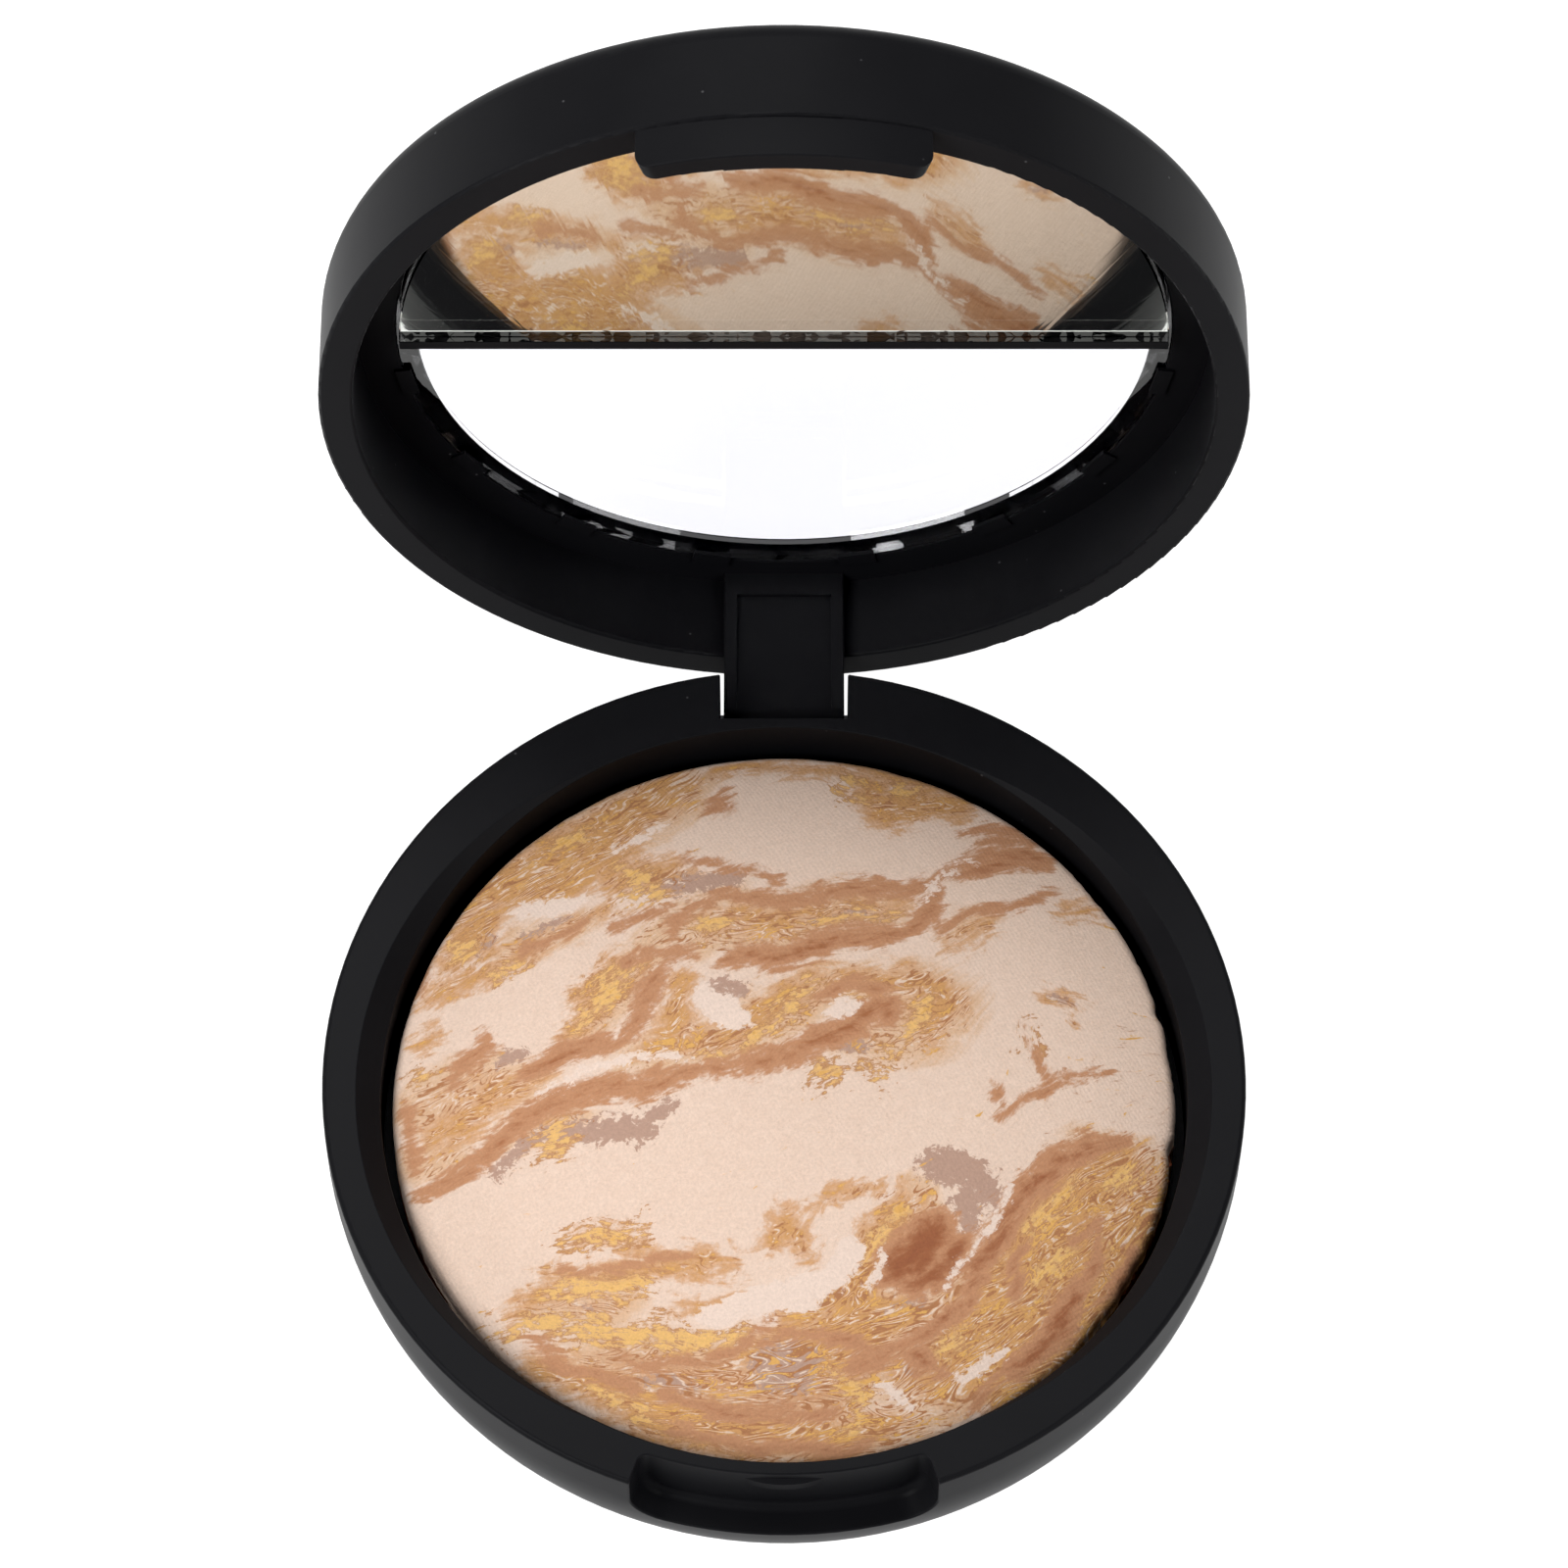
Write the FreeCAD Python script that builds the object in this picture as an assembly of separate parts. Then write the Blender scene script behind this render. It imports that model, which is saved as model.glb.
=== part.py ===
import FreeCAD, Part
import math
import os

# Round powder compact, standing open. Millimetres, +Z up, origin at the centre of the
# underside. The hinge is at the back (+Y), the finger notch at the front (-Y).
# The lid is drawn closed, on top of the base, and turned open about the hinge at the end.

# Driving sizes
OUTER_R = 38.0            # base and lid share one outer radius
BASE_H = 11.4             # underside to rim
SEAM_GAP = 0.2            # rim to rim when the lid is shut
LID_H = 10.3              # lid rim plane to the lid's outer face
OPEN_DEG = 96.7           # from shut to the open stop

# Base outside
FOOT_R = 36.6             # where the curved flank meets the underside
FLANK_TOP_Z = 7.8         # the wall is upright above this height
BASE_RIM_ROUND = 0.4
FINE_ROUND = 0.15         # moulded edges of the rim, the tongue and the tab

# Well for the powder, a little nearer the front than the wall to leave room for the hinge
WELL_R = 33.25
WELL_Y = -0.85
WELL_FLOOR_Z = 3.0
SCALLOP_R = 32.0          # two sloping crescents lower the rim at the left and right
SCALLOP_X = 3.2
SCALLOP_SLOPE = 42.0

# Hollow between the well and the outer wall, open below
POCKET_WALL = 1.1
POCKET_R = 36.4
POCKET_TOP_Z = 8.2
POCKET_HINGE_X = 9.0
POCKET_NOTCH_X = 15.5

# Bottom plate and its label
PLATE_R = 35.6
PLATE_T = 1.5
PLATE_GAP = 0.1
PLATE_NOTCH_X = 6.5
PLATE_NOTCH_Y = 32.1
LABEL_R = 25.0
LABEL_T = 0.12

# Finger notch, a sector of the rim
NOTCH_WALL_R = 35.2
NOTCH_HALF_DEG = 19.05
NOTCH_FLOOR_Z = 5.0
NOTCH_CORNER_R = 2.8
NOTCH_ROOT_R = 0.8

# Catch: a bead on the notch wall, and a tab with a bead of its own on the lid
BEAD_R = 8.6
BEAD_TIP_R = 35.65
BEAD_Z = (8.9, 10.7)
TAB_IN_R = 36.0
TAB_OUT_R = 37.75
TAB_HALF_DEG = 17.9
TAB_DROP = 3.75
TAB_CORNER_R = 1.5
TAB_BEAD_TIP_R = 35.85
TAB_BEAD_HALF_W = 4.7
TAB_BEAD_H = 0.75

# Hinge
HINGE_Y = 35.94
HINGE_DROP = 6.3          # hinge axis below the lid's rim plane
SLOT_HALF_W = 5.4
SLOT_FRONT_Y = 33.3
TONGUE_HALF_W = 5.12
TONGUE_FACE_Y = 33.6
TONGUE_OUT_R = 37.9
PIN_R = 0.75
PIN_HALF_LEN = 7.5
PIN_CLEARANCE = 0.06
PANEL_HALF_W = 4.04       # shallow panel between the tongue's two ribs
PANEL_DEPTH = 0.35
PANEL_TOP_DEPTH = 5.6

# Lid, all depths measured from its rim plane towards its outer face
LID_IN_R = 35.2
LEDGE_DEPTH = 7.84
RECESS_R = 31.96
WINDOW_DEPTH = 8.0
LIP_DEPTH = 9.1
LIP_R = 30.36
LID_EDGE_ROUND = 2.4
LID_RIM_ROUND = 0.25
WINDOW_GAP = 0.1
WINDOW_SINK = 0.2         # window's outer face below the lid's outer face
LUG_COUNT = 16            # lugs that hold the window's rim, on the half with no mirror
LUG_HALF_W = 1.6
LUG_REACH = 0.75
LUG_T = 0.25

# Mirror stack
MIRROR_FACE_DEPTH = 6.5
GLASS_T = 1.2
SILVER_T = 0.03
TAPE_T = 0.07
MIRROR_R = 31.6
MIRROR_EDGE_Y = -0.69     # straight edge of the half-round glass
BAR_EDGE_Y = 0.22         # outer side of the black bar along it
TAPE_MARGIN = 2.0

# Domed powder, baked as an even layer over a domed tile
TILE_R = 32.35
TILE_EDGE_T = 2.6
TILE_RISE = 5.6
GLUE_R = 24.0
GLUE_T = 0.2
POWDER_R = 32.4
POWDER_SHOULDER_Z = 7.9
POWDER_RISE = 7.5
POWDER_EDGE_ROUND = 0.7

RIM_Z = BASE_H + SEAM_GAP                 # lid's rim plane when shut
HINGE_Z = RIM_Z - HINGE_DROP
BARREL_R = HINGE_Y - TONGUE_FACE_Y
TILE_BOTTOM_Z = WELL_FLOOR_Z + GLUE_T
TILE_EDGE_Z = TILE_BOTTOM_Z + TILE_EDGE_T

X = FreeCAD.Vector(1, 0, 0)
Z = FreeCAD.Vector(0, 0, 1)


def vec(x, y, z):
    return FreeCAD.Vector(x, y, z)


def line(r0, z0, r1, z1):
    return Part.LineSegment(vec(r0, 0, z0), vec(r1, 0, z1)).toShape()


def arc(p0, p1, p2):
    return Part.Arc(*[vec(r, 0, z) for r, z in (p0, p1, p2)]).toShape()


def turned(edges):
    """Solid of revolution about Z from a closed outline in the XZ plane."""
    face = Part.Face(Part.Wire(Part.__sortEdges__(edges)))
    solid = face.revolve(vec(0, 0, 0), Z, 360)
    return solid if solid.Volume > 0 else solid.reversed()


def block(x0, x1, y0, y1, z0, z1):
    return Part.makeBox(x1 - x0, y1 - y0, z1 - z0, vec(x0, y0, z0))


def disc(radius, z0, z1, y=0.0, x=0.0):
    return Part.makeCylinder(radius, z1 - z0, vec(x, y, z0))


def pin_along_x(radius, half_length):
    return Part.makeCylinder(radius, 2 * half_length, vec(-half_length, HINGE_Y, HINGE_Z), X)


def front_sector(r_in, r_out, half_deg, z0, z1):
    """Ring sector centred on the front (-Y)."""
    start = vec(r_in, 0, z0)
    edges = Part.makePolygon([start, vec(r_out, 0, z0), vec(r_out, 0, z1), vec(r_in, 0, z1), start])
    sector = Part.Face(edges).revolve(vec(0, 0, 0), Z, 2 * half_deg)
    sector.rotate(vec(0, 0, 0), Z, -90 - half_deg)
    return sector


def edges_where(shape, test):
    return [e for e in shape.Edges if test(e)]


def at_height(edge, z):
    box = edge.BoundBox
    return abs(box.ZMin - z) < 1e-4 and abs(box.ZMax - z) < 1e-4


def base_outside():
    rise = FLANK_TOP_Z
    run = OUTER_R - FOOT_R
    flank_r = (run * run + rise * rise) / (2 * run)
    half_turn = math.asin(rise / flank_r) / 2
    flank_mid = (OUTER_R - flank_r * (1 - math.cos(half_turn)), rise - flank_r * math.sin(half_turn))
    edge = BASE_RIM_ROUND
    k = edge * (1 - math.sqrt(0.5))
    return turned([
        line(0, 0, FOOT_R, 0),
        arc((FOOT_R, 0), flank_mid, (OUTER_R, rise)),
        line(OUTER_R, rise, OUTER_R, BASE_H - edge),
        arc((OUTER_R, BASE_H - edge), (OUTER_R - k, BASE_H - k), (OUTER_R - edge, BASE_H)),
        line(OUTER_R - edge, BASE_H, 0, BASE_H),
        line(0, BASE_H, 0, 0),
    ])


def scallop(side):
    """Cone that slopes the rim down towards the well on one side."""
    depth = 3.0
    over = 0.5
    slope = math.tan(math.radians(SCALLOP_SLOPE))
    low_r = SCALLOP_R - depth / slope
    high_r = SCALLOP_R + over / slope
    base = vec(side * SCALLOP_X, WELL_Y, BASE_H - depth)
    return Part.makeCone(low_r, high_r, depth + over, base, Z)


def wall_pocket():
    """Hollow behind the outer wall, stopped either side of the hinge and of the finger notch."""
    ring = disc(POCKET_R, PLATE_T, POCKET_TOP_Z)
    ring = ring.cut(disc(WELL_R + POCKET_WALL, 0, BASE_H, WELL_Y))
    ring = ring.cut(block(-POCKET_HINGE_X, POCKET_HINGE_X, 0, OUTER_R + 1, 0, BASE_H))
    return ring.cut(block(-POCKET_NOTCH_X, POCKET_NOTCH_X, -OUTER_R - 1, 0, 0, BASE_H))


def plate_outline(gap):
    """Bottom plate's shape, or with a gap the recess that takes it."""
    reach = OUTER_R + 1
    plate = disc(PLATE_R + gap, 0, PLATE_T)
    half_w = PLATE_NOTCH_X + 1 - gap
    return plate.cut(block(-half_w, half_w, PLATE_NOTCH_Y + gap, reach, -1, PLATE_T + 1))


def finger_notch():
    cutter = front_sector(NOTCH_WALL_R, OUTER_R + 5, NOTCH_HALF_DEG, NOTCH_FLOOR_Z, BASE_H + 1)
    low = edges_where(cutter, lambda e: at_height(e, NOTCH_FLOOR_Z))
    sides = [e for e in low if isinstance(e.Curve, Part.Line)]
    cutter = cutter.makeFillet(NOTCH_CORNER_R, sides)
    root = edges_where(cutter, lambda e: at_height(e, NOTCH_FLOOR_Z) and isinstance(e.Curve, Part.Circle)
                       and abs(e.Curve.Radius - NOTCH_WALL_R) < 1e-3)
    return cutter.makeFillet(NOTCH_ROOT_R, root)


def catch_bead():
    bead = disc(BEAD_R, BEAD_Z[0], BEAD_Z[1], BEAD_R - BEAD_TIP_R)
    rim = edges_where(bead, lambda e: isinstance(e.Curve, Part.Circle))
    bead = bead.makeChamfer(0.4, rim)
    return bead.common(block(-6, 6, -BEAD_TIP_R - 1, -NOTCH_WALL_R + 0.5, 0, BASE_H))


def is_rim_edge(edge):
    """Sharp edges of the rim: the well, the crescents, the finger notch and the hinge slot."""
    box = edge.BoundBox
    outermost = isinstance(edge.Curve, Part.Circle) and edge.Curve.Radius > NOTCH_WALL_R + 1
    return box.ZMax > BASE_H - 0.01 and box.ZMin > BASE_H - 2.5 and not outermost


def base_shell():
    shell = base_outside()
    shell = shell.cut(disc(WELL_R, WELL_FLOOR_Z, BASE_H + 1, WELL_Y))
    for side in (-1, 1):
        shell = shell.cut(scallop(side))
    shell = shell.cut(wall_pocket()).cut(plate_outline(PLATE_GAP)).cut(finger_notch())
    shell = shell.cut(block(-SLOT_HALF_W, SLOT_HALF_W, SLOT_FRONT_Y, OUTER_R + 1, -1, BASE_H + 1))
    shell = shell.cut(pin_along_x(PIN_R, PIN_HALF_LEN))
    shell = shell.makeFillet(FINE_ROUND, edges_where(shell, is_rim_edge))
    return shell.fuse(catch_bead()).removeSplitter()


def bottom_plate():
    return plate_outline(0).cut(disc(LABEL_R, 0, LABEL_T))


def bottom_label():
    return disc(LABEL_R, 0, LABEL_T)


def hinge_pin():
    pin = pin_along_x(PIN_R, PIN_HALF_LEN)
    return pin.makeChamfer(0.15, edges_where(pin, lambda e: isinstance(e.Curve, Part.Circle)))


def tile_glue():
    return disc(GLUE_R, WELL_FLOOR_Z, TILE_BOTTOM_Z, WELL_Y)


def domed_disc(radius, low_z, edge_z, rise):
    """Flat-bottomed disc with a spherical top, over the middle of the well."""
    sphere_r = (radius * radius + rise * rise) / (2 * rise)
    half_turn = math.asin(radius / sphere_r) / 2
    top_z = edge_z + rise
    mid = (sphere_r * math.sin(half_turn), top_z - sphere_r * (1 - math.cos(half_turn)))
    dome = turned([
        line(0, low_z, radius, low_z),
        line(radius, low_z, radius, edge_z),
        arc((radius, edge_z), mid, (0, top_z)),
        line(0, top_z, 0, low_z),
    ])
    dome.translate(vec(0, WELL_Y, 0))
    return dome


def terracotta_tile():
    tile = domed_disc(TILE_R, TILE_BOTTOM_Z, TILE_EDGE_Z, TILE_RISE)
    low_rim = edges_where(tile, lambda e: at_height(e, TILE_BOTTOM_Z))
    return tile.makeChamfer(0.5, low_rim)


def baked_powder():
    cake = domed_disc(POWDER_R, TILE_EDGE_Z, POWDER_SHOULDER_Z, POWDER_RISE)
    shoulder = edges_where(cake, lambda e: at_height(e, POWDER_SHOULDER_Z))
    return cake.makeFillet(POWDER_EDGE_ROUND, shoulder).cut(terracotta_tile())


def lid_ring():
    top = RIM_Z + LID_H
    ledge = RIM_Z + LEDGE_DEPTH
    lip = RIM_Z + LIP_DEPTH
    big = LID_EDGE_ROUND
    small = LID_RIM_ROUND
    kb = big * (1 - math.sqrt(0.5))
    ks = small * (1 - math.sqrt(0.5))
    return turned([
        line(LID_IN_R + small, RIM_Z, OUTER_R - small, RIM_Z),
        arc((OUTER_R - small, RIM_Z), (OUTER_R - ks, RIM_Z + ks), (OUTER_R, RIM_Z + small)),
        line(OUTER_R, RIM_Z + small, OUTER_R, top - big),
        arc((OUTER_R, top - big), (OUTER_R - kb, top - kb), (OUTER_R - big, top)),
        line(OUTER_R - big, top, LIP_R, top),
        line(LIP_R, top, LIP_R, lip),
        line(LIP_R, lip, RECESS_R, lip),
        line(RECESS_R, lip, RECESS_R, ledge),
        line(RECESS_R, ledge, LID_IN_R, ledge),
        line(LID_IN_R, ledge, LID_IN_R, RIM_Z + small),
        arc((LID_IN_R, RIM_Z + small), (LID_IN_R + ks, RIM_Z + ks), (LID_IN_R + small, RIM_Z)),
    ])


def hinge_tongue():
    root_z = RIM_Z + LEDGE_DEPTH + 0.5
    tongue = block(-TONGUE_HALF_W, TONGUE_HALF_W, TONGUE_FACE_Y, OUTER_R + 2, HINGE_Z, root_z)
    barrel = pin_along_x(BARREL_R, TONGUE_HALF_W)
    tongue = tongue.fuse(barrel).common(disc(TONGUE_OUT_R, 0, root_z)).removeSplitter()
    face_edges = edges_where(tongue, lambda e: isinstance(e.Curve, Part.Line) and e.BoundBox.ZLength > 5
                             and abs(e.BoundBox.YMax - TONGUE_FACE_Y) < 1e-3)
    tongue = tongue.makeFillet(FINE_ROUND, face_edges)
    panel = block(-PANEL_HALF_W, PANEL_HALF_W, TONGUE_FACE_Y - 1, TONGUE_FACE_Y + PANEL_DEPTH,
                  HINGE_Z, RIM_Z + PANEL_TOP_DEPTH)
    return tongue.cut(panel).cut(pin_along_x(PIN_R + PIN_CLEARANCE, TONGUE_HALF_W + 1))


def catch_tab():
    tab = front_sector(TAB_IN_R, TAB_OUT_R, TAB_HALF_DEG, RIM_Z - TAB_DROP, RIM_Z + 1)
    corners = []
    for edge in tab.Edges:
        box = edge.BoundBox
        low = at_height(edge, RIM_Z - TAB_DROP)
        if low and isinstance(edge.Curve, Part.Line) and box.YLength > 0.5:
            corners.append(edge)
    tab = tab.makeFillet(TAB_CORNER_R, corners)
    tab = tab.makeFillet(FINE_ROUND, edges_where(tab, lambda e: at_height(e, RIM_Z - TAB_DROP)))
    bead_z = RIM_Z - TAB_DROP + 0.15
    half_deg = math.degrees(math.asin(TAB_BEAD_HALF_W / TAB_IN_R))
    return tab.fuse(front_sector(TAB_BEAD_TIP_R, TAB_IN_R + 0.3, half_deg, bead_z, bead_z + TAB_BEAD_H))


def window_lugs():
    """Lugs over the window's rim, evenly spaced, on the half that the mirror leaves open."""
    lugs = []
    ledge = RIM_Z + LEDGE_DEPTH
    pitch = 360.0 / LUG_COUNT
    for i in range(LUG_COUNT):
        angle = (i + 0.5) * pitch
        if angle < 180:
            lug = block(RECESS_R - LUG_REACH, RECESS_R + 0.6, -LUG_HALF_W, LUG_HALF_W, ledge - LUG_T, ledge + 0.1)
            lug.rotate(vec(0, 0, 0), Z, angle)
            lugs.append(lug)
    return lugs


def opened(shape):
    """Turn a closed lid piece to the open stop."""
    shape = shape.copy()
    shape.rotate(vec(0, HINGE_Y, HINGE_Z), X, -OPEN_DEG)
    return shape


def lid_frame():
    frame = lid_ring().fuse(hinge_tongue()).fuse(catch_tab())
    return opened(frame.fuse(window_lugs()).removeSplitter())


def lid_window():
    flange = disc(RECESS_R - WINDOW_GAP, RIM_Z + WINDOW_DEPTH, RIM_Z + LIP_DEPTH)
    pane = disc(LIP_R - WINDOW_GAP, RIM_Z + WINDOW_DEPTH, RIM_Z + LID_H - WINDOW_SINK)
    return opened(flange.fuse(pane).removeSplitter())


def half_round(radius, edge_y, depth0, depth1):
    plate = disc(radius, RIM_Z + depth0, RIM_Z + depth1)
    return plate.common(block(-OUTER_R, OUTER_R, -OUTER_R, edge_y, 0, 2 * OUTER_R))


def mirror_tray():
    floor_depth = MIRROR_FACE_DEPTH + GLASS_T + SILVER_T + TAPE_T
    floor = half_round(MIRROR_R, BAR_EDGE_Y, floor_depth, WINDOW_DEPTH)
    bar = half_round(MIRROR_R, BAR_EDGE_Y, MIRROR_FACE_DEPTH, floor_depth)
    bar = bar.cut(block(-OUTER_R, OUTER_R, -OUTER_R, MIRROR_EDGE_Y, 0, 2 * OUTER_R))
    return opened(floor.fuse(bar).removeSplitter())


def mirror_glass():
    glass = half_round(MIRROR_R, MIRROR_EDGE_Y, MIRROR_FACE_DEPTH, MIRROR_FACE_DEPTH + GLASS_T)
    return opened(glass)


def mirror_silver():
    back = MIRROR_FACE_DEPTH + GLASS_T
    return opened(half_round(MIRROR_R, MIRROR_EDGE_Y, back, back + SILVER_T))


def mirror_tape():
    back = MIRROR_FACE_DEPTH + GLASS_T + SILVER_T
    tape = half_round(MIRROR_R - TAPE_MARGIN, MIRROR_EDGE_Y - TAPE_MARGIN, back, back + TAPE_T)
    return opened(tape)


PIECES = [base_shell, bottom_plate, bottom_label, hinge_pin, tile_glue, terracotta_tile, baked_powder,
          lid_frame, lid_window, mirror_tray, mirror_glass, mirror_silver, mirror_tape]

os.makedirs("parts", exist_ok=True)
for make in PIECES:
    piece = make()
    piece.exportStep(os.path.join("parts", make.__name__ + ".step"))
    box = piece.BoundBox
    print(make.__name__, piece.isValid(), len(piece.Solids), round(piece.Volume, 1),
          [round(v, 2) for v in (box.XMin, box.XMax, box.YMin, box.YMax, box.ZMin, box.ZMax)])
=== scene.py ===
import math

import bmesh
import bpy
import numpy as np
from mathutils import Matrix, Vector, noise


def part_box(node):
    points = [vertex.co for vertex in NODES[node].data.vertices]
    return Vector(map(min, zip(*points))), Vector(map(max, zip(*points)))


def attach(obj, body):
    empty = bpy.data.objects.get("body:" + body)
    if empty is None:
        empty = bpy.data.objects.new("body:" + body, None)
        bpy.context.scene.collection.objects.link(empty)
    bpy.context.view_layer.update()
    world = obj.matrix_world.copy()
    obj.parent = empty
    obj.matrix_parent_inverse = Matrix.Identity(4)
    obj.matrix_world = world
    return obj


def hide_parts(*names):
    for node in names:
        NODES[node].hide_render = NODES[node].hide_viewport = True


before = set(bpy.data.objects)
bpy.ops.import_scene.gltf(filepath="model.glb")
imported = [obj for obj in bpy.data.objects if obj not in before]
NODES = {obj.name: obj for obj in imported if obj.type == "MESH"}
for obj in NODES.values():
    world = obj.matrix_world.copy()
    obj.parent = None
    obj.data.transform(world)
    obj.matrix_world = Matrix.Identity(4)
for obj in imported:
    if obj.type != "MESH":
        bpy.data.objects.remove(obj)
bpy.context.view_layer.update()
MM = 0.001
LID_OPEN = math.radians(96.7)
LID_OUT = Vector((0, math.sin(LID_OPEN), math.cos(LID_OPEN)))    # out of the open lid's face


# ---------------------------------------------------------------- helpers

def linear(hex_colour):
    """sRGB hex to the linear colour that a shader socket takes."""
    channels = [int(hex_colour[i:i + 2], 16) / 255 for i in (1, 3, 5)]
    return [c / 12.92 if c <= 0.04045 else ((c + 0.055) / 1.055) ** 2.4 for c in channels] + [1.0]


def add(tree, kind, inputs=None, **settings):
    """Adds one node. An input is a value, or the socket that feeds it."""
    node = tree.nodes.new(kind)
    for name, value in settings.items():
        setattr(node, name, value)
    for key, value in (inputs or {}).items():
        if isinstance(value, bpy.types.NodeSocket):
            tree.links.new(value, node.inputs[key])
        else:
            node.inputs[key].default_value = value
    return node


def new_material(name):
    material = bpy.data.materials.new(name)
    material.use_nodes = True
    material.node_tree.nodes.clear()
    return material, material.node_tree


def finish_material(tree, shader):
    add(tree, "ShaderNodeOutputMaterial", {"Surface": shader.outputs[0]})


def millimetres(tree):
    """Object coordinates in millimetres."""
    place = add(tree, "ShaderNodeTexCoord").outputs["Object"]
    return add(tree, "ShaderNodeVectorMath", {0: place, "Scale": 1000.0}, operation="SCALE").outputs[0]


def dress(node_name, *materials):
    """Gives a CAD node its finish."""
    slots = NODES[node_name].data.materials
    slots.clear()
    for material in materials:
        slots.append(material)


def mesh_object(name, mesh, *materials):
    for material in materials:
        mesh.materials.append(material)
    piece = bpy.data.objects.new(name, mesh)
    bpy.context.scene.collection.objects.link(piece)
    return piece


# ---------------------------------------------------------------- camera, floor and light

EYE = Vector((0.0, -0.25363, 0.55375))
LOOK_DOWN_DEG = 62.64
LENS_MM = 167.05
BLACK_POINT = 0.0018       # deep blacks, as in a studio print
WORLD_LIGHT = 0.10
TABLE_HALF = 2.5
TABLE_LEVEL = -0.05 * MM    # a hair below the underside, so that the two faces don't lie in one plane
TABLE_WALL = 0.4


def add_camera():
    data = bpy.data.cameras.new("camera")
    data.lens = LENS_MM
    data.sensor_width = 36.0
    data.clip_start = 0.01
    camera = bpy.data.objects.new("camera", data)
    camera.location = EYE
    camera.rotation_euler = (math.radians(90 - LOOK_DOWN_DEG), 0, 0)
    bpy.context.scene.collection.objects.link(camera)
    bpy.context.scene.camera = camera


def light_table():
    """Light table: a matt sheet lit from within, which drowns the shadows."""
    material, tree = new_material("light_table")
    shader = add(tree, "ShaderNodeBsdfPrincipled", {
        "Base Color": linear("#8c8c8c"), "Roughness": 0.9, "Specular IOR Level": 0.0,
        "Emission Color": linear("#ffffff"), "Emission Strength": 1.0})
    finish_material(tree, shader)
    return material


def add_floor():
    """Light table, turned up at its far edges so that no horizon shows from low down."""
    mesh = bpy.data.meshes.new("floor")
    outline = [(TABLE_HALF * x, TABLE_HALF * y) for x, y in ((-1, -1), (1, -1), (1, 1), (-1, 1))]
    corners = [(x, y, z) for z in (TABLE_LEVEL, TABLE_WALL) for x, y in outline]
    walls = [(i, (i + 1) % 4, (i + 1) % 4 + 4, i + 4) for i in range(4)]
    mesh.from_pydata(corners, [], [(0, 1, 2, 3), *walls])
    mesh_object("floor", mesh, light_table())


def add_softbox(name, place, aim, size, power, colour="#ffffff"):
    data = bpy.data.lights.new(name, "AREA")
    data.shape = "RECTANGLE"
    data.size, data.size_y = size
    data.energy = power
    data.color = linear(colour)[:3]
    lamp = bpy.data.objects.new(name, data)
    lamp.location = place
    lamp.rotation_euler = (Vector(aim) - Vector(place)).to_track_quat("-Z", "Y").to_euler()
    bpy.context.scene.collection.objects.link(lamp)


def add_studio():
    world = bpy.data.worlds.new("studio")
    world.use_nodes = True
    background = world.node_tree.nodes["Background"]
    background.inputs["Color"].default_value = linear("#ffffff")
    background.inputs["Strength"].default_value = WORLD_LIGHT
    bpy.context.scene.world = world
    add_softbox("key_left", (-0.45, -0.30, 0.55), (0, 0, 0.01), (0.40, 0.40), 3.8)
    add_softbox("fill_right", (0.50, -0.35, 0.45), (0, 0, 0.01), (0.40, 0.40), 1.5)
    add_softbox("top_back", (-0.12, 0.32, 0.62), (0, 0, 0), (0.50, 0.30), 2.9)


# ---------------------------------------------------------------- finishes

def satin_abs():
    """Black ABS from a fine spark-eroded mould: satin, and almost without gloss at a slant."""
    material, tree = new_material("satin_black_abs")
    place = millimetres(tree)
    grain = add(tree, "ShaderNodeTexNoise", {"Vector": place, "Scale": 5.0, "Detail": 3.0, "Roughness": 0.6})
    cloud = add(tree, "ShaderNodeTexNoise", {"Vector": place, "Scale": 0.12, "Detail": 2.0})
    dust = add(tree, "ShaderNodeTexVoronoi", {"Vector": place, "Scale": 0.32, "Randomness": 1.0})
    speck = add(tree, "ShaderNodeMapRange", {"Value": dust.outputs["Distance"], "From Min": 0.045,
                                             "From Max": 0.02})
    tone = add(tree, "ShaderNodeMix", {"Factor": cloud.outputs["Fac"], "A": linear("#161618"),
                                       "B": linear("#1b1b1d")}, data_type="RGBA")
    tone = add(tree, "ShaderNodeMix", {"Factor": speck.outputs[0], "A": tone.outputs["Result"],
                                       "B": linear("#4a4a4c")}, data_type="RGBA")
    gloss = add(tree, "ShaderNodeMapRange", {"Value": cloud.outputs["Fac"], "To Min": 0.36, "To Max": 0.44})
    bump = add(tree, "ShaderNodeBump", {"Height": grain.outputs["Fac"], "Strength": 0.12,
                                        "Distance": 0.02 * MM})
    shader = add(tree, "ShaderNodeBsdfPrincipled", {
        "Base Color": tone.outputs["Result"], "Roughness": gloss.outputs[0], "Normal": bump.outputs[0],
        "IOR": 1.12})
    finish_material(tree, shader)
    return material


def clear_styrene():
    """Clear moulded polystyrene: glassy, very faintly lavender where it is seen edge on."""
    material, tree = new_material("clear_polystyrene")
    shader = add(tree, "ShaderNodeBsdfPrincipled", {
        "Base Color": linear("#fbfbff"), "Roughness": 0.015, "IOR": 1.59, "Transmission Weight": 1.0})
    finish_material(tree, shader)
    return material


def float_glass():
    """Thin float glass with ground edges; green only along its edge."""
    material, tree = new_material("float_glass")
    shader = add(tree, "ShaderNodeBsdfPrincipled", {
        "Base Color": linear("#f7fcf9"), "Roughness": 0.0, "IOR": 1.52, "Transmission Weight": 1.0})
    finish_material(tree, shader)
    return material


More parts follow.
